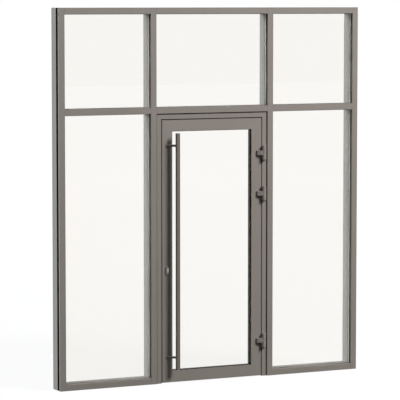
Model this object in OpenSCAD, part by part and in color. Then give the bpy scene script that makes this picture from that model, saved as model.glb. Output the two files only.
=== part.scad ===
// Glazed door screen: four uprights, three upper panes, two side panes and an outward opening glass door.
// Origin on the floor, at mid width and at the middle of the box profiles' depth. X right, Y back, Z up.

/* [Screen] */
// Overall width over the two outer posts
screen_w = 2660; // [2300:10:3200]
// Overall height
screen_h = 3000; // [2700:10:3400]
// Clear width between the two mullions
door_bay_w = 990; // [900:5:1100]
// Clear height under the transom
transom_z = 2161; // [2000:1:2300]

/* [Profiles] */
// Sight width of every upright and rail
profile_w = 50; // [46:1:60]
// Depth of the hollow box behind the glass
box_d = 90; // [70:5:150]
// Wall of the hollow profiles
profile_wall = 2.2; // [1.8:0.1:3]
// Width of the screw nose on the box front
nose_w = 12; // [10:1:14]
// Depth of the screw nose
nose_d = 30; // [24:1:32]
// Slot for the pressure plate screws
screw_slot_w = 4; // [3:0.5:5]
// Depth of the cover caps
cap_d = 20; // [14:1:26]
// Wall of the cover caps
cap_wall = 2; // [1.5:0.1:2.5]
// Rounding of the cover caps' front edges
cap_round = 1.5; // [0.5:0.1:1.8]
// Thickness of the pressure plates
plate_t = 5; // [3:0.5:6]
// Open joint at the ends of the rails' caps
cap_joint = 0.6; // [0.3:0.1:1.5]
// Depth of the snap ridges inside the cover caps
clip_d = 1.2; // [0.8:0.1:1.6]
// Height of those ridges
clip_h = 2.4; // [1.6:0.1:3]
// Rounding of the boxes' edges
box_round = 1; // [0.5:0.1:1.8]
// Length of the blocks that join a rail to an upright
connector_l = 60; // [40:5:100]
// Wall of those blocks
connector_wall = 4; // [3:0.5:6]
// Thickness of the anchor plates in the ends of the uprights
anchor_t = 8; // [6:1:12]
// Radius of the anchor bolt holes
anchor_hole_r = 5.5; // [4.5:0.5:7]

/* [Fixed glazing] */
// Thickness of one sheet of glass
sheet_t = 6; // [4:1:6]
// Cavity between the two sheets
cavity_t = 16; // [12:1:18]
// How far the glass reaches behind the caps
glass_bite = 13; // [11:1:14]
// Thickness of the gasket in front of the glass
outer_gasket_t = 5; // [4:0.5:7]
// Thickness of the gasket behind the glass
inner_gasket_t = 5; // [4:0.5:7]
// How far the gaskets show past the profiles
gasket_lip = 2.5; // [2:0.5:4.5]
// How far the gaskets reach behind the caps
gasket_bite = 12; // [9:1:12]
// How far the spacer bars show past the profiles
spacer_lip = 3; // [1:0.5:5]
// Edge seal outside the spacer bars
edge_seal_w = 3; // [2:0.5:5]
// Open joint between the strips at the corners
strip_joint = 0.2; // [0.1:0.1:0.5]
// Length of the setting blocks under the glass
block_l = 100; // [60:5:150]
// How far the insulators lie back in the outer grooves
insulator_back = 5; // [3:1:12]

/* [Door frame] */
// Joint between the profiles and the door frame
frame_gap = 7; // [5:0.5:8]
// Face width of the door frame
frame_face = 37; // [34:1:50]
// Depth of the door frame
frame_d = 75; // [72:1:90]
// Wall of the door frame
frame_wall = 2; // [1.8:0.1:2.6]
// How far the door lies behind the face of the caps
door_setback = 10; // [8:1:18]
// Width of the stop behind the leaf
stop_w = 16; // [14:1:20]
// Thickness of the stop
stop_t = 9; // [7:1:9]
// Width of the seal on the stop
stop_seal_w = 12; // [10:1:13]
// Room between that seal and the closed leaf
seal_clear = 0.3; // [0.3:0.1:1]
// Depth of the seal in the joint at the back of the frame
joint_seal_d = 16; // [10:1:20]

/* [Leaf] */
// Gap between the leaf and its frame
leaf_gap = 8; // [5:0.5:9]
// Gap between the leaf and the floor
floor_gap = 8; // [6:1:14]
// Face width of the leaf's stiles and rails
leaf_face = 89; // [84:1:110]
// Depth of the leaf
leaf_d = 60; // [56:1:60]
// Wall of the leaf's profiles
leaf_wall = 2.2; // [1.8:0.1:2.6]
// Height of the glazing lip and the beads
lip_h = 22; // [20:1:24]
// Depth of the glazing lip
lip_d = 10; // [8:1:17]
// Gasket in front of the leaf's glass
leaf_outer_gasket_t = 4; // [3:0.5:5]
// Gasket behind the leaf's glass
leaf_inner_gasket_t = 3; // [2:0.5:4]
// Cavity in the leaf's glass
leaf_cavity_t = 12; // [10:1:13]
// How far the leaf's glass reaches behind the lip
leaf_bite = 18; // [14:1:19]
// Wall of the hollow glazing beads
bead_wall = 1.6; // [1.2:0.1:2]
// Slope of the beads' back edge
bead_slope = 4; // [2:0.5:6]
// How far the beads show past the lip
bead_lip = 5; // [2:0.5:6]
// How far the leaf's gaskets show past the lip
leaf_gasket_lip = 2; // [1:0.5:4]
// Depth of the brush under the leaf
brush_d = 12; // [8:1:16]
// Room between that brush and the floor
brush_clear = 1.5; // [1:0.5:3]

/* [Hinges] */
// Heights of the three hinges
hinge_low_z = 296; // [200:1:500]
// Middle hinge
hinge_middle_z = 1498; // [900:1:1550]
// Upper hinge
hinge_high_z = 1827; // [1700:1:1850]
// Distance of the hinge axis from the leaf's edge
hinge_out = 13; // [8:1:14]
// Distance of the hinge axis in front of the leaf
hinge_stand = 20; // [19:1:26]
// Radius of the knuckles
knuckle_r = 16; // [13:0.5:17]
// Height of one knuckle
knuckle_h = 36; // [28:1:44]
// Gap between two knuckles
knuckle_gap = 1; // [0.8:0.1:2]
// Radius of the hinge pins
pin_r = 6; // [5:0.5:6]
// Radius of the pins' heads
pin_head_r = 11; // [9:0.5:12]
// Height of the pins' heads
pin_head_h = 4; // [2:0.5:6]
// Wall of the bushes in the leaf's knuckles
bush_wall = 1.6; // [1:0.1:2]
// Radial clearance of pins, bushes and the key plug
turn_clear = 0.05; // [0.02:0.01:0.1]
// Thickness of the plates on the frame and the leaf
hinge_plate_t = 6; // [5:0.5:7]
// Length of the leaf's plate past the leaf's edge
hinge_arm_l = 43; // [38:1:60]
// Thickness of the end of the leaf's plate
hinge_arm_t = 18; // [12:1:20]
// Bevel on that end
hinge_arm_bevel = 5; // [2:0.5:8]

/* [Pull bars] */
// Side of the square bars
bar_w = 28; // [20:1:36]
// Rounding of the bars' edges
bar_round = 1.5; // [0.5:0.5:4]
// Wall of the bars' tubes
bar_wall = 2.5; // [1.5:0.5:3]
// Thickness of the bars' end plugs
bar_plug_t = 10; // [4:1:14]
// How far those plugs reach into the tubes
bar_plug_in = 15; // [8:1:30]
// Lower end of the bars
bar_low_z = 112; // [60:1:200]
// Upper end of the bars
bar_high_z = 2006; // [1800:1:2030]
// Distance of the posts from the bars' ends
post_inset = 99; // [60:1:200]
// Distance of the bars' middle from the leaf's face
bar_stand = 64; // [55:1:80]
// Sideways shift of the bars from the stile's middle
bar_shift = 63; // [50:1:75]
// Radius of the slanted posts
post_r = 9; // [7:0.5:11]
// Radius of the posts' rosettes
rosette_r = 15; // [12:0.5:18]
// Thickness of the rosettes
rosette_t = 4; // [2:0.5:6]
// Radius of the through bolts
bolt_r = 4; // [3:0.5:5]
// Radial clearance of holes for bolts and the lock cylinder
hole_clear = 0.2; // [0.1:0.1:0.5]

/* [Lock] */
// Height of the lock cylinder's axis
lock_z = 917; // [800:1:1100]
// Radius of the lock cylinder
cylinder_r = 8.5; // [8:0.5:9.5]
// Radius of the key plug
plug_r = 6.5; // [5.5:0.5:7]
// How far the cylinder stands out from the leaf's faces
cylinder_out = 12; // [11:0.5:14]
// Height of the lock cylinder with its foot
cylinder_h = 33; // [30:0.5:36]
// Width of that foot
cylinder_foot_w = 10; // [8:0.5:11]
// Keyway width
keyway_w = 1.6; // [1:0.1:2]
// Keyway height
keyway_h = 9; // [7:0.5:10]
// Keyway depth
keyway_d = 12; // [5:1:18]
// Reach of the cam on the key plug
cam_r = 12; // [10:0.5:14]
// Width of the cam
cam_w = 9; // [6:0.5:10]
// Gap in the cylinder for the cam
cam_slot = 10; // [9:0.5:12]
// Thickness of the lock case
case_t = 18; // [16:0.5:20]
// Room around the turning cam in the lock case
cam_clear = 1; // [0.5:0.5:3]
// Wall of the lock case
case_wall = 1.5; // [1:0.1:2]
// Width of the faceplate
faceplate_w = 22; // [20:1:26]
// Height of the faceplate
faceplate_h = 180; // [150:5:220]
// Thickness of the deadbolt
bolt_t = 12; // [8:0.5:13]
// Height of the deadbolt
bolt_h = 34; // [24:1:40]
// Length of the deadbolt
bolt_l = 40; // [32:1:44]
// Room around the deadbolt
bolt_clear = 0.3; // [0.3:0.1:0.6]
// Height of the deadbolt's middle over the key plug
bolt_up = 36; // [34:1:44]
// Length of the strike plate
strike_h = 90; // [70:5:140]
// Escutcheon width
escutcheon_w = 36; // [32:1:46]
// Escutcheon height
escutcheon_h = 72; // [60:1:84]
// Escutcheon thickness
escutcheon_t = 9; // [6:0.5:10]
// Rounding of the escutcheon's edge
escutcheon_round = 4; // [2:0.5:6]

/* [Hidden] */
$fn = 48;
eps = 0.01;
past = 1;
seat_clear = 0.3;

// Depths, from the back of the boxes to the face of the caps
igu_t = 2 * sheet_t + cavity_t;
rebate_d = inner_gasket_t + igu_t + outer_gasket_t;
box_front_y = -box_d / 2;
glass_back_y = box_front_y - inner_gasket_t;
glass_front_y = glass_back_y - igu_t;
plate_back_y = box_front_y - rebate_d;
face_y = plate_back_y - cap_d;
thermal_t = rebate_d - nose_d;
plate_w = profile_w - 2 * cap_wall - 2 * seat_clear;

// Middles of the uprights and rails
post_x = (screen_w - profile_w) / 2;
mullion_x = (door_bay_w + profile_w) / 2;
upright_xs = [-post_x, -mullion_x, mullion_x, post_x];
head_z = screen_h - profile_w / 2;
transom_mid_z = transom_z + profile_w / 2;
sill_z = profile_w / 2;

// Clear widths between the uprights: left, centre, right
bays = [for (i = [0:2]) [upright_xs[i] + profile_w / 2, upright_xs[i + 1] - profile_w / 2]];
side_bays = [bays[0], bays[2]];
// One entry for each run of rail: its bay and the height of its middle
rail_runs = concat([for (b = bays) [b, head_z]], [for (b = bays) [b, transom_mid_z]],
                   [for (b = side_bays) [b, sill_z]]);

// Clear openings of the panes: x from, x to, z from, z to
function upper_pane(b) = [b[0], b[1], transom_z + profile_w, screen_h - profile_w];
function side_pane(b) = [b[0], b[1], profile_w, transom_z];
panes = concat([for (b = bays) upper_pane(b)], [for (b = side_bays) side_pane(b)]);
door_opening = [bays[1][0], bays[1][1], 0, transom_z];

// Door frame and leaf
frame_half = door_bay_w / 2 - frame_gap;
frame_top = transom_z - frame_gap;
fin_l = frame_gap + glass_bite;
door_y = face_y + door_setback;
frame_back_y = door_y + frame_d;
rebate_half = frame_half - frame_face;
rebate_top = frame_top - frame_face;
leaf_half = rebate_half - leaf_gap;
leaf_top = rebate_top - leaf_gap;
leaf_back_y = door_y + leaf_d;
leaf_mid_y = door_y + leaf_d / 2;
stop_front_y = frame_back_y - stop_t;
leaf_opening = [leaf_face - leaf_half, leaf_half - leaf_face, floor_gap + leaf_face, leaf_top - leaf_face];
leaf_glass_front_y = door_y + lip_d + leaf_outer_gasket_t;
leaf_glass_back_y = leaf_glass_front_y + 2 * sheet_t + leaf_cavity_t;
bead_front_y = leaf_glass_back_y + leaf_inner_gasket_t;
bead_d = leaf_back_y - bead_front_y;
stile_x = leaf_face / 2 - leaf_half;

// Hinges
axis_x = leaf_half + hinge_out;
axis_y = door_y - hinge_stand;
hinge_h = 3 * knuckle_h + 2 * knuckle_gap;
bush_flange_t = knuckle_gap - seat_clear;
web_r = knuckle_r - past;
// Angles on the knuckles, from the door's plane, where the arm and the webs run in
web_low = 30;
web_high = 60;

// Pull bars and lock
bar_x = stile_x + bar_shift;
bar_y = door_y - bar_stand;
post_angle = atan2(bar_shift, bar_stand);
post_zs = [bar_low_z + post_inset, bar_high_z - post_inset];
case_l = leaf_face / 2 - leaf_wall + cam_r + cam_clear + case_wall;
foot_drop = cylinder_h - cylinder_r - cylinder_foot_w / 2;
case_low_z = lock_z - cylinder_h + cylinder_r - hole_clear - 2 * case_wall;
case_high_z = lock_z + bolt_up + bolt_h / 2 + bolt_clear + 2 * case_wall;
faceplate_z = (case_low_z + case_high_z) / 2;

METAL = "#7d7771";
BARE = "#b9b6ad";
STEEL = "#c4bfae";
RUBBER = "#161616";
INSULATOR = "#0b0b0b";
GLASS = [0.80, 0.88, 0.86, 0.25];

// A box between two corners
module block(low, high) {
    translate(low) cube(high - low);
}

// Extrudes a section, drawn as width by depth, upwards at x
module upright(x, z0, z1) {
    translate([x, 0, z0]) linear_extrude(z1 - z0) children();
}

// Extrudes the same kind of section along X, with its middle at z
module rail(bay, z, joint = 0) {
    translate([bay[0] + joint, 0, z]) rotate([90, 0, 90])
        linear_extrude(bay[1] - bay[0] - 2 * joint) mirror([1, -1, 0]) children();
}

// Four straight strips around a clear opening: lip is how far they show, bite how far they lie behind
module strips(o, lip, bite, y0, y1, sill = true) {
    foot = sill ? o[2] - bite : o[2];
    for (x = [[o[0] - bite, o[0] + lip], [o[1] - lip, o[1] + bite]])
        block([x[0], y0, foot], [x[1], y1, o[3] + bite]);
    x0 = o[0] + lip + strip_joint;
    x1 = o[1] - lip - strip_joint;
    block([x0, y0, o[3] - lip], [x1, y1, o[3] + bite]);
    if (sill) block([x0, y0, o[2] - bite], [x1, y1, o[2] + lip]);
}

// Two sheets of glass over an opening, reaching bite past it on every side
module double_glass(o, bite, y_front, cavity) {
    for (y = [y_front, y_front + sheet_t + cavity])
        block([o[0] - bite, y, o[2] - bite], [o[1] + bite, y + sheet_t, o[3] + bite]);
}

// Keeps the part of a profile on its own side of the 45 degree corner joints
module mitred(outline, y0, y1) {
    intersection() {
        children();
        translate([0, y1 + past, 0]) rotate([90, 0, 0]) linear_extrude(y1 - y0 + 2 * past) polygon(outline);
    }
}

// Rectangle with rounded corners, about its middle
module rounded(w, d, r) {
    square([w, d - 2 * r], center = true);
    square([w - 2 * r, d], center = true);
    for (x = [-1, 1], y = [-1, 1])
        translate([x * (w / 2 - r), y * (d / 2 - r)]) circle(r);
}

// Hollow box with its slotted screw nose
module box_section() {
    difference() {
        union() {
            rounded(profile_w, box_d, box_round);
            translate([-nose_w / 2, box_front_y - nose_d]) square([nose_w, nose_d + profile_wall]);
        }
        square([profile_w - 2 * profile_wall, box_d - 2 * profile_wall], center = true);
        translate([-screw_slot_w / 2, box_front_y - nose_d - past])
            square([screw_slot_w, nose_d + past - profile_wall]);
    }
}

// Triangle on a side wall at the middle of the pressure plate: x is its base, d and h its depth and height
module clip(x, d, h) {
    y = plate_back_y - plate_t / 2;
    for (side = [-1, 1]) polygon([[side * x, y - h / 2], [side * (x - d), y], [side * x, y + h / 2]]);
}

// Cover cap with the two ridges that snap over the pressure plate
module cap_section() {
    inside_x = profile_w / 2 - cap_wall;
    difference() {
        union() {
            translate([-profile_w / 2, face_y + cap_round]) square([profile_w, cap_d - cap_round]);
            translate([cap_round - profile_w / 2, face_y]) square([profile_w - 2 * cap_round, cap_d]);
            for (side = [-1, 1])
                translate([side * (profile_w / 2 - cap_round), face_y + cap_round]) circle(cap_round);
        }
        difference() {
            translate([-inside_x, face_y + cap_wall]) square([2 * inside_x, cap_d]);
            clip(inside_x, clip_d, clip_h);
        }
    }
}

// Pressure plate with the grooves for those ridges
module plate_section() {
    difference() {
        translate([-plate_w / 2, plate_back_y - plate_t]) square([plate_w, plate_t]);
        clip(plate_w / 2 + seat_clear, clip_d + 2 * seat_clear, clip_h + 4 * seat_clear);
    }
}

module thermal_section() {
    translate([-nose_w / 2, plate_back_y]) square([nose_w, thermal_t]);
}

module box_upright(x) {
    color(METAL) upright(x, 0, screen_h) box_section();
}

module cap_upright(x) {
    color(METAL) upright(x, 0, screen_h) cap_section();
}

module left_post() { box_upright(-post_x); }
module left_mullion() { box_upright(-mullion_x); }
module right_mullion() { box_upright(mullion_x); }
module right_post() { box_upright(post_x); }
module left_post_cap() { cap_upright(-post_x); }
module left_mullion_cap() { cap_upright(-mullion_x); }
module right_mullion_cap() { cap_upright(mullion_x); }
module right_post_cap() { cap_upright(post_x); }

// Rails butt against the uprights
module head_rails() {
    color(METAL) for (b = bays) rail(b, head_z) box_section();
}

module transoms() {
    color(METAL) for (b = bays) rail(b, transom_mid_z) box_section();
}

module sills() {
    color(METAL) for (b = side_bays) rail(b, sill_z) box_section();
}

module head_caps() {
    color(METAL) for (b = bays) rail(b, head_z, cap_joint) cap_section();
}

module transom_caps() {
    color(METAL) for (b = bays) rail(b, transom_mid_z, cap_joint) cap_section();
}

module sill_caps() {
    color(METAL) for (b = side_bays) rail(b, sill_z, cap_joint) cap_section();
}

// Short tubes inside the rails' ends, screwed to the uprights
module rail_connectors() {
    w = profile_w - 2 * profile_wall - 2 * seat_clear;
    d = box_d - 2 * profile_wall - 2 * seat_clear;
    color(BARE) for (run = rail_runs, x = [run[0][0], run[0][1] - connector_l])
        rail([x, x + connector_l], run[1]) difference() {
            square([w, d], center = true);
            square([w - 2 * connector_wall, d - 2 * connector_wall], center = true);
        }
}

// Plates in the feet and heads of the uprights, one bolt hole each
module anchor_plates() {
    w = profile_w - 2 * profile_wall - 2 * seat_clear;
    d = box_d - 2 * profile_wall - 2 * seat_clear;
    color(BARE) for (x = upright_xs, z = [0, screen_h - anchor_t])
        difference() {
            upright(x, z, z + anchor_t) square([w, d], center = true);
            translate([x, 0, z - past]) cylinder(r = anchor_hole_r, h = anchor_t + 2 * past);
        }
}

// Thermal strips on the noses, and the black fillers of the outer grooves
module insulator_strips() {
    color(INSULATOR) {
        for (x = upright_xs) upright(x, 0, screen_h) thermal_section();
        for (run = rail_runs) rail(run[0], run[1]) thermal_section();
        for (side = [0, 1]) mirror([side, 0, 0])
            block([post_x + nose_w / 2, plate_back_y, 0],
                  [screen_w / 2 - insulator_back, box_front_y, screen_h]);
        for (b = bays)
            block([b[0], plate_back_y, head_z + nose_w / 2], [b[1], box_front_y, screen_h - insulator_back]);
        for (b = side_bays)
            block([b[0], plate_back_y, insulator_back], [b[1], box_front_y, sill_z - nose_w / 2]);
    }
}

module pressure_plates() {
    color(BARE) {
        for (x = upright_xs) upright(x, 0, screen_h) plate_section();
        for (run = rail_runs) rail(run[0], run[1], cap_joint) plate_section();
    }
}

module pane(o) {
    color(GLASS) double_glass(o, glass_bite, glass_front_y, cavity_t);
}

module upper_left_glass() { pane(upper_pane(bays[0])); }
module upper_centre_glass() { pane(upper_pane(bays[1])); }
module upper_right_glass() { pane(upper_pane(bays[2])); }
module left_side_glass() { pane(side_pane(bays[0])); }
module right_side_glass() { pane(side_pane(bays[2])); }

module glass_spacers() {
    color(BARE) for (o = panes)
        strips(o, spacer_lip, glass_bite - edge_seal_w, glass_front_y + sheet_t, glass_back_y - sheet_t);
}

module outer_gaskets() {
    color(RUBBER) {
        for (o = panes) strips(o, gasket_lip, gasket_bite, plate_back_y, glass_front_y);
        strips(door_opening, frame_gap - seat_clear, gasket_bite, plate_back_y, glass_front_y, sill = false);
    }
}

module inner_gaskets() {
    color(RUBBER) {
        for (o = panes) strips(o, gasket_lip, gasket_bite, glass_back_y, box_front_y);
        strips(door_opening, gasket_lip, gasket_bite, glass_back_y, box_front_y, sill = false);
    }
}

// Two blocks under each pane, on the nose of the rail below
module setting_blocks() {
    seat = (profile_w - nose_w) / 2;
    color(RUBBER) for (o = panes, share = [0.25, 0.75])
        translate([o[0] + (o[1] - o[0]) * share - block_l / 2, glass_front_y, o[2] - seat])
            cube([block_l, igu_t, seat - glass_bite]);
}

// Tube of the door frame with the fin that is clamped like a pane, drawn from its outer edge inwards
module frame_section() {
    difference() {
        union() {
            translate([0, door_y]) square([frame_face, frame_d]);
            translate([-fin_l, glass_front_y]) square([fin_l + frame_wall, igu_t]);
        }
        translate([frame_wall, door_y + frame_wall])
            square([frame_face - 2 * frame_wall, frame_d - 2 * frame_wall]);
        translate([frame_wall - fin_l, glass_front_y + frame_wall])
            square([fin_l - frame_wall, igu_t - 2 * frame_wall]);
    }
}

module jamb() {
    outline = [[-frame_half - fin_l, 0], [-frame_half - fin_l, frame_top + fin_l],
               [-rebate_half, rebate_top], [-rebate_half, 0]];
    mitred(outline, door_y, frame_back_y) upright(-frame_half, 0, frame_top + fin_l) frame_section();
}

module door_jamb_lock() {
    color(METAL) difference() {
        jamb();
        block([-rebate_half - frame_wall - past, leaf_mid_y - faceplate_w / 2 - hole_clear,
               lock_z + bolt_up - strike_h / 2 - hole_clear],
              [-rebate_half + past, leaf_mid_y + faceplate_w / 2 + hole_clear,
               lock_z + bolt_up + strike_h / 2 + hole_clear]);
    }
}

module door_jamb_hinge() {
    color(METAL) mirror([1, 0, 0]) jamb();
}

module door_head() {
    outer = frame_half + fin_l;
    outline = [[-outer, frame_top + fin_l], [outer, frame_top + fin_l],
               [rebate_half, rebate_top], [-rebate_half, rebate_top]];
    color(METAL) mitred(outline, door_y, frame_back_y)
        rail([-outer, outer], frame_top) mirror([1, 0, 0]) frame_section();
}

// Three straight bars on the door frame, from the given depth, set in from the rebate
module door_surround(set_in, width, y0, y1) {
    x = rebate_half - set_in;
    z = rebate_top - set_in;
    for (side = [0, 1]) mirror([side, 0, 0]) block([x - width, y0, 0], [x, y1, z]);
    block([width + strip_joint - x, y0, z - width], [x - width - strip_joint, y1, z]);
}

module door_stops() {
    color(METAL) door_surround(0, stop_w, stop_front_y, frame_back_y);
}

module door_stop_seal() {
    set_in = (stop_w - stop_seal_w) / 2;
    color(RUBBER) door_surround(set_in, stop_seal_w, leaf_back_y + seal_clear, stop_front_y);
}

// Fills the joint between the profiles' boxes and the door frame at the back
module door_frame_seal() {
    y1 = frame_back_y - frame_wall;
    y0 = y1 - joint_seal_d;
    color(RUBBER) {
        for (side = [0, 1]) mirror([side, 0, 0])
            block([frame_half, y0, 0], [frame_half + frame_gap, y1, frame_top + frame_gap]);
        block([strip_joint - frame_half, y0, frame_top],
              [frame_half - strip_joint, y1, frame_top + frame_gap]);
    }
}

module strike_plate() {
    color(STEEL) difference() {
        block([-rebate_half - frame_wall, leaf_mid_y - faceplate_w / 2, lock_z + bolt_up - strike_h / 2],
              [-rebate_half, leaf_mid_y + faceplate_w / 2, lock_z + bolt_up + strike_h / 2]);
        bolt_slot(-rebate_half - frame_wall - past, -rebate_half + past);
    }
}

// Room for the deadbolt between two planes across X
module bolt_slot(x0, x1) {
    y = bolt_t / 2 + bolt_clear;
    z = bolt_h / 2 + bolt_clear;
    block([x0, leaf_mid_y - y, lock_z + bolt_up - z], [x1, leaf_mid_y + y, lock_z + bolt_up + z]);
}

// Knuckle with its slanted web down to the door frame
module frame_knuckle_section() {
    right = frame_half - frame_wall;
    translate([axis_x, axis_y]) circle(knuckle_r);
    polygon([[axis_x, door_y], [right, door_y], [right, door_y - hinge_plate_t],
             [axis_x + web_r * cos(web_low), axis_y - web_r * sin(web_low)], [axis_x, axis_y]]);
}

// Two knuckles on one plate, with the room for the leaf's knuckle between them
module hinge_frame(z) {
    low = z - hinge_h / 2;
    color(METAL) difference() {
        union() {
            for (start = [low, low + 2 * (knuckle_h + knuckle_gap)])
                upright(0, start, start + knuckle_h) frame_knuckle_section();
            block([axis_x, door_y - hinge_plate_t, low], [frame_half - frame_wall, door_y, low + hinge_h]);
        }
        translate([axis_x, axis_y, low - past]) cylinder(r = pin_r + turn_clear, h = hinge_h + 2 * past);
        translate([axis_x, axis_y, low + knuckle_h])
            cylinder(r = knuckle_r + knuckle_gap, h = knuckle_h + 2 * knuckle_gap);
    }
}

module lower_hinge_frame() { hinge_frame(hinge_low_z); }
module middle_hinge_frame() { hinge_frame(hinge_middle_z); }
module upper_hinge_frame() { hinge_frame(hinge_high_z); }

module hinge_pins() {
    color(STEEL) for (z = [hinge_low_z, hinge_middle_z, hinge_high_z]) translate([axis_x, axis_y, z]) {
        translate([0, 0, -hinge_h / 2]) cylinder(r = pin_r, h = hinge_h);
        for (side = [0, 1]) mirror([0, 0, side])
            translate([0, 0, hinge_h / 2]) cylinder(r = pin_head_r, h = pin_head_h);
    }
}

// Leaf profile with its hollow glazing lip, drawn from the leaf's edge inwards
module leaf_section() {
    tube_w = leaf_face - lip_h;
    difference() {
        union() {
            translate([0, door_y]) square([tube_w, leaf_d]);
            translate([0, door_y]) square([leaf_face, lip_d]);
        }
        translate([leaf_wall, door_y + leaf_wall]) square([tube_w - 2 * leaf_wall, leaf_d - 2 * leaf_wall]);
        translate([tube_w, door_y + leaf_wall]) square([lip_h - leaf_wall, lip_d - 2 * leaf_wall]);
    }
}

module stile() {
    outline = [[-leaf_half, floor_gap], [-leaf_half, leaf_top],
               [leaf_opening[0], leaf_opening[3]], [leaf_opening[0], leaf_opening[2]]];
    mitred(outline, door_y, leaf_back_y) upright(-leaf_half, floor_gap, leaf_top) leaf_section();
}

// The lock stile is cut out for the lock and drilled for the pull posts' bolts
module leaf_stile_lock() {
    color(METAL) difference() {
        stile();
        block([-leaf_half - past, leaf_mid_y - faceplate_w / 2 - hole_clear,
               faceplate_z - faceplate_h / 2 - hole_clear],
              [-leaf_half + leaf_wall + eps, leaf_mid_y + faceplate_w / 2 + hole_clear,
               faceplate_z + faceplate_h / 2 + hole_clear]);
        cylinder_body(hole_clear);
        for (z = post_zs) through_leaf(z, bolt_r + hole_clear);
    }
}

// Cylinder through the lock stile from face to face, longer by extra on both sides
module through_leaf(z, r, extra = past) {
    translate([stile_x, leaf_back_y + extra, z]) rotate([90, 0, 0]) cylinder(r = r, h = leaf_d + 2 * extra);
}

module leaf_stile_hinge() {
    color(METAL) mirror([1, 0, 0]) stile();
}

module leaf_rail_top() {
    outline = [[-leaf_half, leaf_top], [leaf_half, leaf_top],
               [leaf_opening[1], leaf_opening[3]], [leaf_opening[0], leaf_opening[3]]];
    color(METAL) mitred(outline, door_y, leaf_back_y)
        rail([-leaf_half, leaf_half], leaf_top) mirror([1, 0, 0]) leaf_section();
}

module leaf_rail_bottom() {
    outline = [[-leaf_half, floor_gap], [leaf_half, floor_gap],
               [leaf_opening[1], leaf_opening[2]], [leaf_opening[0], leaf_opening[2]]];
    color(METAL) mitred(outline, door_y, leaf_back_y) rail([-leaf_half, leaf_half], floor_gap) leaf_section();
}

module leaf_glass() {
    color(GLASS) double_glass(leaf_opening, leaf_bite, leaf_glass_front_y, leaf_cavity_t);
}

module leaf_glass_spacer() {
    color(RUBBER) strips(leaf_opening, spacer_lip, leaf_bite - edge_seal_w,
                         leaf_glass_front_y + sheet_t, leaf_glass_back_y - sheet_t);
}

module leaf_gaskets() {
    color(RUBBER) {
        strips(leaf_opening, leaf_gasket_lip, gasket_bite, door_y + lip_d, leaf_glass_front_y);
        strips(leaf_opening, leaf_gasket_lip, gasket_bite, leaf_glass_back_y, bead_front_y);
    }
}

// Hollow bead with a sloped back edge, drawn outwards from a little inside the opening
module bead_section() {
    inner_slope = bead_slope + bead_wall * tan(45 / 2);
    width = bead_lip + lip_h;
    translate([-bead_lip, bead_front_y]) difference() {
        polygon([[0, 0], [width, 0], [width, bead_d], [bead_slope, bead_d], [0, bead_d - bead_slope]]);
        polygon([[bead_wall, bead_wall], [width - bead_wall, bead_wall],
                 [width - bead_wall, bead_d - bead_wall], [inner_slope, bead_d - bead_wall],
                 [bead_wall, bead_d - inner_slope]]);
    }
}

module leaf_glazing_beads() {
    o = leaf_opening;
    across = [o[0] + bead_lip + strip_joint, o[1] - bead_lip - strip_joint];
    color(RUBBER) {
        for (side = [0, 1]) mirror([side, 0, 0]) upright(o[1], o[2] - lip_h, o[3] + lip_h) bead_section();
        rail(across, o[3]) bead_section();
        rail(across, o[2]) mirror([1, 0, 0]) bead_section();
    }
}

module leaf_bottom_brush() {
    color(RUBBER) block([-leaf_half, leaf_mid_y - brush_d / 2, brush_clear],
                        [leaf_half, leaf_mid_y + brush_d / 2, floor_gap]);
}

// Stout arm of the leaf's knuckle, which lies on the stile
module leaf_arm_section() {
    edge = leaf_half - leaf_wall;
    left = leaf_half - hinge_arm_l;
    top = door_y - hinge_arm_t;
    polygon([[left, door_y], [edge, door_y],
             [axis_x - web_r * cos(web_low), axis_y + web_r * sin(web_low)], [axis_x, axis_y],
             [axis_x - web_r * cos(web_high), axis_y - web_r * sin(web_high)],
             [left + hinge_arm_bevel, top], [left, top + hinge_arm_bevel]]);
}

module hinge_leaf(z) {
    low = z - knuckle_h / 2;
    color(METAL) difference() {
        union() {
            translate([axis_x, axis_y, low]) cylinder(r = knuckle_r, h = knuckle_h);
            upright(0, low, low + knuckle_h) leaf_arm_section();
        }
        translate([axis_x, axis_y, low - past])
            cylinder(r = pin_r + turn_clear + bush_wall, h = knuckle_h + 2 * past);
    }
}

module lower_hinge_leaf() { hinge_leaf(hinge_low_z); }
module middle_hinge_leaf() { hinge_leaf(hinge_middle_z); }
module upper_hinge_leaf() { hinge_leaf(hinge_high_z); }

// Flanged bushes in the leaf's knuckles, which rest on the lower frame knuckles
module hinge_bushes() {
    bush_r = pin_r + turn_clear + bush_wall;
    color(RUBBER) for (z = [hinge_low_z, hinge_middle_z, hinge_high_z])
        translate([axis_x, axis_y, z - knuckle_h / 2]) difference() {
            union() {
                cylinder(r = bush_r, h = knuckle_h);
                translate([0, 0, -bush_flange_t]) cylinder(r = pin_head_r, h = bush_flange_t);
            }
            translate([0, 0, -bush_flange_t - past])
                cylinder(r = pin_r + turn_clear, h = knuckle_h + bush_flange_t + 2 * past);
        }
}

module bar_section() {
    rounded(bar_w, bar_w, bar_round);
}

// Places an outer fitting again on the inside of the leaf
module inside() {
    translate([0, 2 * leaf_mid_y, 0]) mirror([0, 1, 0]) children();
}

// End plug of a bar, upright, with its foot in the tube below it
module bar_plug() {
    linear_extrude(bar_plug_t) bar_section();
    translate([0, 0, -bar_plug_in]) linear_extrude(bar_plug_in)
        square(bar_w - 2 * bar_wall - 2 * seat_clear, center = true);
}

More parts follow.
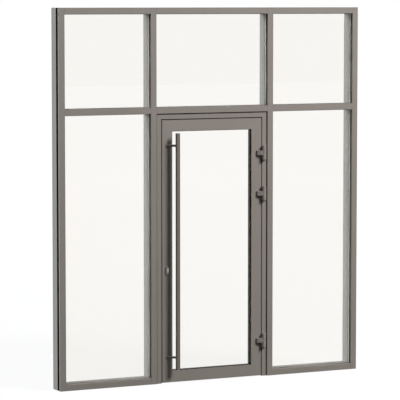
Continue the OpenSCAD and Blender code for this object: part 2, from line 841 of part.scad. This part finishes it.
// Square tube with a plug in each end
module pull_bar() {
    joint = bar_plug_t + strip_joint;
    translate([bar_x, bar_y, 0]) {
        translate([0, 0, bar_low_z + joint]) linear_extrude(bar_high_z - bar_low_z - 2 * joint) difference() {
            bar_section();
            square(bar_w - 2 * bar_wall, center = true);
        }
        translate([0, 0, bar_high_z - bar_plug_t]) bar_plug();
        translate([0, 0, bar_low_z + bar_plug_t]) mirror([0, 0, 1]) bar_plug();
    }
}

module outer_pull_bar() {
    color(METAL) pull_bar();
}

module inner_pull_bar() {
    color(METAL) inside() pull_bar();
}

// Round post, slanted from its rosette on the stile's middle to the bar
module pull_post(z) {
    reach = norm([bar_shift, bar_stand]);
    translate([stile_x, door_y, z]) {
        rotate([90, 0, 0]) cylinder(r = rosette_r, h = rosette_t);
        difference() {
            rotate([0, 0, post_angle]) rotate([90, 0, 0]) translate([0, 0, -post_r])
                cylinder(r = post_r, h = reach + post_r);
            block([-reach, 0, -reach], [reach, reach, reach]);
            translate([bar_shift, -bar_stand, -reach]) linear_extrude(2 * reach) bar_section();
        }
    }
}

module pull_posts() {
    color(METAL) for (z = post_zs) {
        pull_post(z);
        inside() pull_post(z);
    }
}

module pull_bolts() {
    color(STEEL) for (z = post_zs) through_leaf(z, bolt_r, 0);
}

// Lock case with its faceplate, let into the stile's edge
module lock_case() {
    edge = -leaf_half;
    front = edge + leaf_wall;
    t = case_t / 2;
    color(STEEL) difference() {
        union() {
            block([edge, leaf_mid_y - faceplate_w / 2, faceplate_z - faceplate_h / 2],
                  [front, leaf_mid_y + faceplate_w / 2, faceplate_z + faceplate_h / 2]);
            block([front - eps, leaf_mid_y - t, case_low_z], [front + case_l, leaf_mid_y + t, case_high_z]);
        }
        block([front + case_wall, leaf_mid_y - t + case_wall, case_low_z + case_wall],
              [front + case_l - case_wall, leaf_mid_y + t - case_wall, case_high_z - case_wall]);
        bolt_slot(edge - past, front + 2 * case_wall);
        cylinder_body(hole_clear);
    }
}

// Round barrel over a narrow foot, through the leaf: grow widens it all round
module cylinder_body(grow, extra = past) {
    through_leaf(lock_z, cylinder_r + grow, extra);
    through_leaf(lock_z - foot_drop, cylinder_foot_w / 2 + grow, extra);
    x = cylinder_foot_w / 2 + grow;
    block([stile_x - x, door_y - extra, lock_z - foot_drop], [stile_x + x, leaf_back_y + extra, lock_z]);
}

// Round body across the middle of the lock stile
module across_lock(r, length) {
    translate([stile_x, leaf_mid_y + length / 2, lock_z]) rotate([90, 0, 0]) cylinder(r = r, h = length);
}

// Outer and inner half of the cylinder, with the cam's slot between them and a bridge under it
module lock_cylinder() {
    color(STEEL) difference() {
        cylinder_body(0, cylinder_out);
        through_leaf(lock_z, plug_r + turn_clear, cylinder_out + past);
        across_lock(cam_r + cam_clear, cam_slot);
    }
}

// Key plug with a keyway at both ends and the cam in the middle
module key_plug() {
    color(STEEL) difference() {
        union() {
            through_leaf(lock_z, plug_r, cylinder_out);
            intersection() {
                across_lock(cam_r, cam_w);
                block([stile_x - cam_w / 2, leaf_mid_y - cam_w, lock_z - cam_r - past],
                      [stile_x + cam_w / 2, leaf_mid_y + cam_w, lock_z]);
            }
        }
        for (y = [door_y - cylinder_out - past, leaf_back_y + cylinder_out + past - keyway_d])
            translate([stile_x - keyway_w / 2, y, lock_z - keyway_h / 2])
                cube([keyway_w, keyway_d, keyway_h]);
    }
}

// Half of the escutcheon's section, from its middle line outwards, with a round edge
module escutcheon_section() {
    w = escutcheon_w / 2;
    square([w, escutcheon_t - escutcheon_round]);
    square([w - escutcheon_round, escutcheon_t]);
    translate([w - escutcheon_round, escutcheon_t - escutcheon_round]) circle(escutcheon_round);
}

// Oval cover around the lock cylinder
module escutcheon() {
    straight = escutcheon_h - escutcheon_w;
    difference() {
        translate([stile_x, door_y, lock_z - foot_drop / 2]) {
            for (side = [-1, 1]) translate([0, 0, side * straight / 2]) rotate([90, 0, 0])
                rotate_extrude() escutcheon_section();
            for (side = [0, 1]) mirror([side, 0, 0]) translate([0, 0, -straight / 2]) linear_extrude(straight)
                mirror([0, 1, 0]) escutcheon_section();
        }
        cylinder_body(hole_clear, cylinder_out + past);
    }
}

module escutcheons() {
    color(METAL) {
        escutcheon();
        inside() escutcheon();
    }
}

module deadbolt() {
    front = -leaf_half + leaf_wall / 2;
    color(STEEL) block([front, leaf_mid_y - bolt_t / 2, lock_z + bolt_up - bolt_h / 2],
                       [front + bolt_l, leaf_mid_y + bolt_t / 2, lock_z + bolt_up + bolt_h / 2]);
}

left_post();
left_mullion();
right_mullion();
right_post();
head_rails();
transoms();
sills();
rail_connectors();
anchor_plates();
insulator_strips();
pressure_plates();
left_post_cap();
left_mullion_cap();
right_mullion_cap();
right_post_cap();
head_caps();
transom_caps();
sill_caps();
upper_left_glass();
upper_centre_glass();
upper_right_glass();
left_side_glass();
right_side_glass();
glass_spacers();
outer_gaskets();
inner_gaskets();
setting_blocks();
door_jamb_lock();
door_jamb_hinge();
door_head();
door_stops();
door_frame_seal();
door_stop_seal();
strike_plate();
lower_hinge_frame();
middle_hinge_frame();
upper_hinge_frame();
hinge_pins();
leaf_stile_lock();
leaf_stile_hinge();
leaf_rail_top();
leaf_rail_bottom();
leaf_glass();
leaf_glass_spacer();
leaf_gaskets();
leaf_glazing_beads();
leaf_bottom_brush();
lower_hinge_leaf();
middle_hinge_leaf();
upper_hinge_leaf();
hinge_bushes();
outer_pull_bar();
inner_pull_bar();
pull_posts();
pull_bolts();
lock_case();
lock_cylinder();
escutcheons();
key_plug();
deadbolt();
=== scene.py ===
import math

import bmesh
import bpy
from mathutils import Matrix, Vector


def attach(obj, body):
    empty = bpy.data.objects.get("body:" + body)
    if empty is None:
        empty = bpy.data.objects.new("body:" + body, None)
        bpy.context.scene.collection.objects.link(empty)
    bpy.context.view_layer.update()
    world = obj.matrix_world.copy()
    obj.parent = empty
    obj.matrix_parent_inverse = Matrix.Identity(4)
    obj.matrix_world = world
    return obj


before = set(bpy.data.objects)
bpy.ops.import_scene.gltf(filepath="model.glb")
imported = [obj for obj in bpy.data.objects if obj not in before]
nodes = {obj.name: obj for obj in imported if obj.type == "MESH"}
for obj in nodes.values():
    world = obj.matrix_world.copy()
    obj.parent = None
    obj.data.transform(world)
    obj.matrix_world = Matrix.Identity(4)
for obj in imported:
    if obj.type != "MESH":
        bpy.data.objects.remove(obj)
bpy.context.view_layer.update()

# Uprights and rails.
# Hollow aluminium boxes with a screw nose, extruded and sawn to length.
# The rails butt against the uprights, and all are powder coated in one warm grey.


def linear(code):
    """Linear colour of an sRGB hex value."""
    channels = [int(code[i:i + 2], 16) / 255 for i in (1, 3, 5)]
    return [c / 12.92 if c <= 0.04045 else ((c + 0.055) / 1.055) ** 2.4 for c in channels] + [1.0]


def add(tree, kind, inputs=None, **settings):
    """Adds a node, sets its options, and fills or links its inputs."""
    node = tree.nodes.new(kind)
    for name, value in settings.items():
        setattr(node, name, value)
    for name, value in (inputs or {}).items():
        if isinstance(value, bpy.types.NodeSocket):
            tree.links.new(value, node.inputs[name])
        else:
            node.inputs[name].default_value = value
    return node


def new_material(name):
    """An empty node material."""
    material = bpy.data.materials.new(name)
    material.use_nodes = True
    material.node_tree.nodes.clear()
    return material, material.node_tree


def finish(material, *names):
    """Gives the named CAD nodes a material."""
    for name in names:
        mesh = nodes[name].data
        mesh.materials.clear()
        mesh.materials.append(material)


MM = 0.001


def powder_coat_of(name, dark, light):
    """Powder coat, sprayed and baked: a satin film with a little metal flake and orange peel.

    It looks nearly matt from the front, cloudy by a shade, and gleams a little at a slant. What faces up is
    painted lighter, towards a pale grey, as a painted highlight of light from above. The peel is really
    about 0.4 mm wide, and is drawn at 1.5 mm to show.
    """
    material, tree = new_material(name)
    place = add(tree, "ShaderNodeTexCoord")
    peel = add(tree, "ShaderNodeTexNoise",
               {"Vector": place.outputs["Object"], "Scale": 1 / (1.5 * MM), "Detail": 2.0})
    cloud = add(tree, "ShaderNodeTexNoise",
                {"Vector": place.outputs["Object"], "Scale": 1 / (350 * MM), "Detail": 3.0})
    tone = add(tree, "ShaderNodeValToRGB", {"Fac": cloud.outputs["Fac"]})
    tone.color_ramp.elements[0].color = linear(dark)
    tone.color_ramp.elements[1].color = linear(light)
    # Painted light: faces that look up are mixed towards a pale grey (#BEB8AF), a painted highlight of
    # light from above.
    surface = add(tree, "ShaderNodeNewGeometry")
    facing = add(tree, "ShaderNodeSeparateXYZ", {"Vector": surface.outputs["Normal"]})
    upward = add(tree, "ShaderNodeMapRange",
                 {"Value": facing.outputs["Z"], "From Min": 0.5, "From Max": 1.0, "To Max": 0.28})
    # In a colour mix, input 0 is the share, 6 and 7 are the two colours, and output 2 is the result.
    painted_top_light = add(tree, "ShaderNodeMix",
                {0: upward.outputs["Result"], 6: tone.outputs["Color"], 7: linear("#BEB8AF")},
                data_type="RGBA")
    gloss = add(tree, "ShaderNodeMapRange", {"Value": peel.outputs["Fac"], "To Min": 0.55, "To Max": 0.65})
    bump = add(tree, "ShaderNodeBump",
               {"Height": peel.outputs["Fac"], "Strength": 0.15, "Distance": 0.05 * MM})
    shader = add(tree, "ShaderNodeBsdfPrincipled", {
        "Base Color": painted_top_light.outputs[2], "Roughness": gloss.outputs["Result"],
        "Normal": bump.outputs["Normal"], "Metallic": 0.05, "Specular IOR Level": 0.1})
    add(tree, "ShaderNodeOutputMaterial", {"Surface": shader.outputs["BSDF"]})
    return material


powder_coat = powder_coat_of("powder_coated_aluminium", "#7C7670", "#837D77")
finish(powder_coat, "left_post", "left_mullion", "right_mullion", "right_post",
       "head_rails", "transoms", "sills")

# Connectors and anchor plates.
# Tubes and plates inside the ends of the profiles, screwed and bolted: bare aluminium as it left the die.
# Its fine lines run along the extrusion and break up the gleam.
mill_finish, tree = new_material("mill_finish_aluminium")
place = add(tree, "ShaderNodeTexCoord")
stretch = add(tree, "ShaderNodeMapping", {"Vector": place.outputs["Object"], "Scale": (1.0, 1.0, 0.02)})
die_lines = add(tree, "ShaderNodeTexNoise", {"Vector": stretch.outputs["Vector"], "Scale": 1 / (2 * MM)})
gloss = add(tree, "ShaderNodeMapRange", {"Value": die_lines.outputs["Fac"], "To Min": 0.35, "To Max": 0.5})
shader = add(tree, "ShaderNodeBsdfPrincipled", {
    "Base Color": linear("#B9B6AD"), "Metallic": 1.0, "Roughness": gloss.outputs["Result"]})
add(tree, "ShaderNodeOutputMaterial", {"Surface": shader.outputs["BSDF"]})
finish(mill_finish, "rail_connectors", "anchor_plates")

# Thermal strips, groove fillers and setting blocks.
# Black plastic, extruded or moulded, pushed onto the noses and under the panes.
# It is very matt and swallows the light, with a faint die grain.
plastic, tree = new_material("black_polyamide")
place = add(tree, "ShaderNodeTexCoord")
grain = add(tree, "ShaderNodeTexNoise",
            {"Vector": place.outputs["Object"], "Scale": 1 / (3 * MM), "Detail": 3.0})
gloss = add(tree, "ShaderNodeMapRange", {"Value": grain.outputs["Fac"], "To Min": 0.75, "To Max": 0.9})
shader = add(tree, "ShaderNodeBsdfPrincipled", {
    "Base Color": linear("#070707"), "Roughness": gloss.outputs["Result"], "Specular IOR Level": 0.0})
add(tree, "ShaderNodeOutputMaterial", {"Surface": shader.outputs["BSDF"]})
finish(plastic, "insulator_strips", "setting_blocks")

# Gaskets of the fixed panes.
# Extruded black rubber, pressed into the grooves in front of and behind the glass.
# Outside, the weather has bleached it to a dark grey.


def rubber_of(name, dark, light):
    """Extruded rubber: matt, without a gleam, with dust in soft patches about 40 mm wide."""
    material, tree = new_material(name)
    place = add(tree, "ShaderNodeTexCoord")
    dust = add(tree, "ShaderNodeTexNoise",
               {"Vector": place.outputs["Object"], "Scale": 1 / (40 * MM), "Detail": 4.0})
    tone = add(tree, "ShaderNodeValToRGB", {"Fac": dust.outputs["Fac"]})
    tone.color_ramp.elements[0].color = linear(dark)
    tone.color_ramp.elements[1].color = linear(light)
    shader = add(tree, "ShaderNodeBsdfPrincipled", {
        "Base Color": tone.outputs["Color"], "Roughness": 0.85, "Specular IOR Level": 0.0})
    add(tree, "ShaderNodeOutputMaterial", {"Surface": shader.outputs["BSDF"]})
    return material


rubber = rubber_of("black_epdm_rubber", "#0C0C0C", "#161514")
finish(rubber, "inner_gaskets")
finish(rubber_of("weathered_epdm_rubber", "#3A3A39", "#464544"), "outer_gaskets")

# Fixed panes.
# Two sheets of clear float glass, nearly colourless, toughened on rollers and sealed on a spacer bar.
# The rollers leave faint waves about 250 mm long, which show in slanted reflections only.
clear_glass, tree = new_material("clear_float_glass")
place = add(tree, "ShaderNodeTexCoord")
waves = add(tree, "ShaderNodeTexNoise",
            {"Vector": place.outputs["Object"], "Scale": 1 / (250 * MM), "Detail": 0.0})
bump = add(tree, "ShaderNodeBump", {"Height": waves.outputs["Fac"], "Strength": 0.1, "Distance": 1 * MM})
shader = add(tree, "ShaderNodeBsdfPrincipled", {
    "Base Color": linear("#FBFAF8"), "Roughness": 0.0, "IOR": 1.5, "Transmission Weight": 1.0,
    "Normal": bump.outputs["Normal"]})
add(tree, "ShaderNodeOutputMaterial", {"Surface": shader.outputs["BSDF"]})
finish(clear_glass, "upper_left_glass", "upper_centre_glass", "upper_right_glass", "left_side_glass",
       "right_side_glass")

# Spacer bars of the fixed panes.
# Roll formed aluminium, drawn matt at the mill, sealed between the sheets.
# The brushed face scatters more light than a bare extrusion and reads as a pale line behind the glass.
spacer_finish, tree = new_material("satin_rolled_aluminium")
place = add(tree, "ShaderNodeTexCoord")
rolling = add(tree, "ShaderNodeTexNoise",
              {"Vector": place.outputs["Object"], "Scale": 1 / (4 * MM), "Detail": 2.0})
gloss = add(tree, "ShaderNodeMapRange", {"Value": rolling.outputs["Fac"], "To Min": 0.5, "To Max": 0.65})
shader = add(tree, "ShaderNodeBsdfPrincipled", {
    "Base Color": linear("#B4B2AA"), "Metallic": 0.4, "Roughness": gloss.outputs["Result"]})
add(tree, "ShaderNodeOutputMaterial", {"Surface": shader.outputs["BSDF"]})
finish(spacer_finish, "glass_spacers")

# Pressure plates and cover caps.
# Bare plates are screwed to the noses and clamp the glass.
# Powder coated caps snap over them and hide the screws.
finish(mill_finish, "pressure_plates")
finish(powder_coat, "left_post_cap", "left_mullion_cap", "right_mullion_cap", "right_post_cap",
       "head_caps", "transom_caps", "sill_caps")

# Door frame.
# Hollow profiles with a fin that is clamped like a pane, mitred at the head, with rubber in the joint.
# The stops behind the leaf carry a rubber seal.
finish(powder_coat, "door_jamb_lock", "door_jamb_hinge", "door_head", "door_stops")
finish(rubber, "door_frame_seal", "door_stop_seal")

# Leaf.
# Hollow profiles, mitred and crimped at the corners, in the same powder coat.
# The glass is set from inside, on black rubber, and held by snapped in black beads.
finish(powder_coat, "leaf_stile_lock", "leaf_stile_hinge", "leaf_rail_top", "leaf_rail_bottom")
finish(clear_glass, "leaf_glass")
finish(rubber, "leaf_gaskets")
finish(plastic, "leaf_glass_spacer", "leaf_glazing_beads")

# Brush under the leaf.
# Black nylon bristles in a strip that is pushed into the bottom rail, combing the floor.
# A bristle is about 0.3 mm thick, and is drawn at 2 mm to show; light catches single bristles.
bristles, tree = new_material("black_nylon_bristle")
place = add(tree, "ShaderNodeTexCoord")
combed = add(tree, "ShaderNodeMapping", {"Vector": place.outputs["Object"], "Scale": (1.0, 1.0, 0.05)})
strands = add(tree, "ShaderNodeTexNoise",
              {"Vector": combed.outputs["Vector"], "Scale": 1 / (2 * MM), "Detail": 2.0})
tone = add(tree, "ShaderNodeValToRGB", {"Fac": strands.outputs["Fac"]})
tone.color_ramp.elements[0].position = 0.35
tone.color_ramp.elements[0].color = linear("#050505")
tone.color_ramp.elements[1].position = 0.65
tone.color_ramp.elements[1].color = linear("#232220")
bump = add(tree, "ShaderNodeBump", {"Height": strands.outputs["Fac"], "Strength": 0.6, "Distance": 1 * MM})
shader = add(tree, "ShaderNodeBsdfPrincipled", {
    "Base Color": tone.outputs["Color"], "Roughness": 0.6, "Normal": bump.outputs["Normal"]})
add(tree, "ShaderNodeOutputMaterial", {"Surface": shader.outputs["BSDF"]})
finish(bristles, "leaf_bottom_brush")

# Hinges.
# Die cast knuckles and pins in the door's colour, turning on black plastic bushes.
# The arms are screwed to the leaf and the plates to the frame.
for hinge in ("lower", "middle", "upper"):
    finish(powder_coat, f"{hinge}_hinge_frame", f"{hinge}_hinge_leaf")
finish(powder_coat, "hinge_pins")
finish(plastic, "hinge_bushes")

# Hinge screws.
# Low cap screws with a hexagon socket, two through each arm into the stile and two through each plate.
# They are coated with the hinges, so that only the sockets and rims show.
scene = bpy.context.scene


def cap_screws(name, body, places, outward, head_r, material):
    """Heads of like screws on one face: their places in millimetres, and the face's outward direction."""
    head_h = 0.42 * head_r
    edge = 0.14 * head_r
    socket_r = 0.5 * head_r
    socket_d = 0.3 * head_r
    sunk = 0.3
    turns = [math.radians(10 * step) for step in range(36)]
    rim = [Vector((math.cos(turn), math.sin(turn), 0)) for turn in turns]
    hexagon = [point / math.cos(turn % (math.pi / 3) - math.pi / 6) for point, turn in zip(rim, turns)]
    rings = (
        (rim, head_r, -sunk),
        (rim, head_r, head_h - edge),
        (rim, head_r - 0.3 * edge, head_h - 0.3 * edge),
        (rim, head_r - edge, head_h),
        (hexagon, socket_r, head_h),
        (hexagon, socket_r, head_h - socket_d),
    )
    upright = Vector(outward).to_track_quat("Z", "Y")
    shape = bmesh.new()
    for place in places:
        rows = []
        for outline, size, height in rings:
            spots = [Vector(place) + upright @ (size * point + Vector((0, 0, height))) for point in outline]
            rows.append([shape.verts.new(MM * spot) for spot in spots])
        for low, high in zip(rows, rows[1:]):
            for i in range(len(turns)):
                shape.faces.new((low[i - 1], low[i], high[i], high[i - 1]))
        shape.faces.new(rows[0][::-1])
        shape.faces.new(rows[-1])
    mesh = bpy.data.meshes.new(name)
    shape.to_mesh(mesh)
    shape.free()
    mesh.shade_smooth()
    mesh.set_sharp_from_angle(angle=math.radians(40))
    mesh.materials.append(material)
    screws = bpy.data.objects.new(name, mesh)
    scene.collection.objects.link(screws)
    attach(screws, body)


hinge_heights = (296, 1498, 1827)
screw_heights = [z + side for z in hinge_heights for side in (-9, 9)]
hinge_screw_r = 4.5
arm_face = (421, -116.5)
arm_outward = (-0.326, -0.945, 0)
plate_face = (477, -99)
plate_outward = (0, -1, 0)
cap_screws("hinge_arm_screws", "leaf", [(*arm_face, z) for z in screw_heights], arm_outward,
           hinge_screw_r, powder_coat)
cap_screws("hinge_plate_screws", "frame", [(*plate_face, z) for z in screw_heights], plate_outward,
           hinge_screw_r, powder_coat)

# Pull bars.
# Square tubes with plugged ends on slanted round posts, bolted through the lock stile.
# Their powder coat is a shade darker and browner than the door's.
dark_coat = powder_coat_of("dark_powder_coated_aluminium", "#6C655D", "#726B63")
finish(dark_coat, "outer_pull_bar", "inner_pull_bar", "pull_posts")

# Lock, strike plate and bolts.
# Satin nickel plate over brass or steel, finely turned, in a coated escutcheon: a warm, soft gleam.
# Screws hold the faceplate and the strike plate, and a long one through the faceplate holds the cylinder.
nickel, tree = new_material("satin_nickel_plate")
place = add(tree, "ShaderNodeTexCoord")
turning = add(tree, "ShaderNodeTexNoise",
              {"Vector": place.outputs["Object"], "Scale": 1 / (1 * MM), "Detail": 2.0})
gloss = add(tree, "ShaderNodeMapRange", {"Value": turning.outputs["Fac"], "To Min": 0.25, "To Max": 0.36})
shader = add(tree, "ShaderNodeBsdfPrincipled", {
    "Base Color": linear("#B4AD9D"), "Metallic": 1.0, "Roughness": gloss.outputs["Result"]})
add(tree, "ShaderNodeOutputMaterial", {"Surface": shader.outputs["BSDF"]})
finish(nickel, "strike_plate", "pull_bolts", "lock_case", "lock_cylinder", "key_plug", "deadbolt")
finish(powder_coat, "escutcheons")
lock_screw_r = 4.0
faceplate_face = (-443, -63)
strike_face = (-451, -63)
cap_screws("faceplate_screws", "leaf", [(*faceplate_face, z) for z in (851, 900, 1011)], (-1, 0, 0),
           lock_screw_r, nickel)
cap_screws("strike_screws", "frame", [(*strike_face, z) for z in (915, 991)], (1, 0, 0),
           lock_screw_r, nickel)

# Studio floor.
# A wide sheet of white paper: white to the eye, in reflections and through the glass, with a faint shadow.
# Its own light makes up more of the white further out, where the lamps no longer reach evenly.


def seen_rays(tree):
    """1 for what is seen straight, through glass or in a reflection, and 0 for light on the object."""
    rays = add(tree, "ShaderNodeLightPath")
    direct = add(tree, "ShaderNodeMath",
                 {0: rays.outputs["Is Camera Ray"], 1: rays.outputs["Is Transmission Ray"]},
                 operation="MAXIMUM")
    seen = add(tree, "ShaderNodeMath",
               {0: direct.outputs["Value"], 1: rays.outputs["Is Glossy Ray"]}, operation="MAXIMUM")
    return seen.outputs["Value"]


floor_mesh = bpy.data.meshes.new("studio_floor")
reach = 60.0
floor_mesh.from_pydata([(-reach, -reach, 0), (reach, -reach, 0), (reach, reach, 0), (-reach, reach, 0)], [],
                       [(0, 1, 2, 3)])
studio_floor = bpy.data.objects.new("studio_floor", floor_mesh)
scene.collection.objects.link(studio_floor)
studio_floor.location.z = -0.5 * MM
paper, tree = new_material("white_studio_paper")
place = add(tree, "ShaderNodeTexCoord")
away = add(tree, "ShaderNodeVectorMath", {0: place.outputs["Object"]}, operation="LENGTH")
white = add(tree, "ShaderNodeMapRange", {
    "Value": away.outputs["Value"], "From Min": 2.0, "From Max": 20.0, "To Min": 0.92, "To Max": 0.985})
strength = add(tree, "ShaderNodeMath",
               {0: seen_rays(tree), 1: white.outputs["Result"]}, operation="MULTIPLY")
matt = add(tree, "ShaderNodeBsdfDiffuse", {"Color": linear("#484848")})
glow = add(tree, "ShaderNodeEmission", {"Color": linear("#FFFFFF"), "Strength": strength.outputs["Value"]})
both = add(tree, "ShaderNodeAddShader", {0: matt.outputs["BSDF"], 1: glow.outputs["Emission"]})
add(tree, "ShaderNodeOutputMaterial", {"Surface": both.outputs["Shader"]})
floor_mesh.materials.append(paper)

# Light.
# A white room that lights little, and a wide soft lamp high on the right in front.
# A soft sun comes from the left behind, and a weak one from the left for the sides of the caps.
scene.world = bpy.data.worlds.new("white_room")
scene.world.use_nodes = True
tree = scene.world.node_tree
tree.nodes.clear()
room = add(tree, "ShaderNodeBackground", {"Color": linear("#FFFFFF"), "Strength": 0.1})
white = add(tree, "ShaderNodeBackground", {"Color": linear("#FFFFFF"), "Strength": 1.0})
mixed = add(tree, "ShaderNodeMixShader",
            {0: seen_rays(tree), 1: room.outputs["Background"], 2: white.outputs["Background"]})
add(tree, "ShaderNodeOutputWorld", {"Surface": mixed.outputs["Shader"]})


def add_lamp(name, kind, offset, energy, **settings):
    """A lamp at an offset in metres from the door's middle, turned towards it."""
    lamp = bpy.data.lights.new(name, kind)
    lamp.energy = energy
    for setting, value in settings.items():
        setattr(lamp, setting, value)
    lamp_object = bpy.data.objects.new(name, lamp)
    scene.collection.objects.link(lamp_object)
    door_middle = Vector((0.0, -0.1, 1.6))
    lamp_object.location = door_middle + Vector(offset)
    lamp_object.rotation_euler = (-Vector(offset)).to_track_quat("-Z", "Y").to_euler()
    lamp_object.visible_camera = False


add_lamp("front_lamp", "AREA", (6.3, -8.67, 9.0), 2955, shape="DISK", size=5.0)
add_lamp("side_sun", "SUN", (-10.0, -1.4, 3.0), 0.4, angle=math.radians(20))
add_lamp("back_sun", "SUN", (-9.9, 7.9, 4.1), 4.55, angle=math.radians(30), color=linear("#ECFAFF")[:3])

# Camera.
# A long lens from the left, level with the top of the screen and tipped a little down.
camera = bpy.data.objects.new("camera", bpy.data.cameras.new("camera"))
scene.collection.objects.link(camera)
camera.data.sensor_width = 36.0
camera.data.lens = 212.7
camera.data.clip_end = 200.0
turn = math.radians(25.92)
drop = math.radians(4.854)
distance = 18.93
look_at = Vector((-0.114, -0.103, 1.4631))
forward = Vector((math.sin(turn) * math.cos(drop), math.cos(turn) * math.cos(drop), -math.sin(drop)))
camera.location = look_at - distance * forward
camera.rotation_euler = forward.to_track_quat("-Z", "Y").to_euler()
scene.camera = camera
scene.view_settings.view_transform = "Standard"
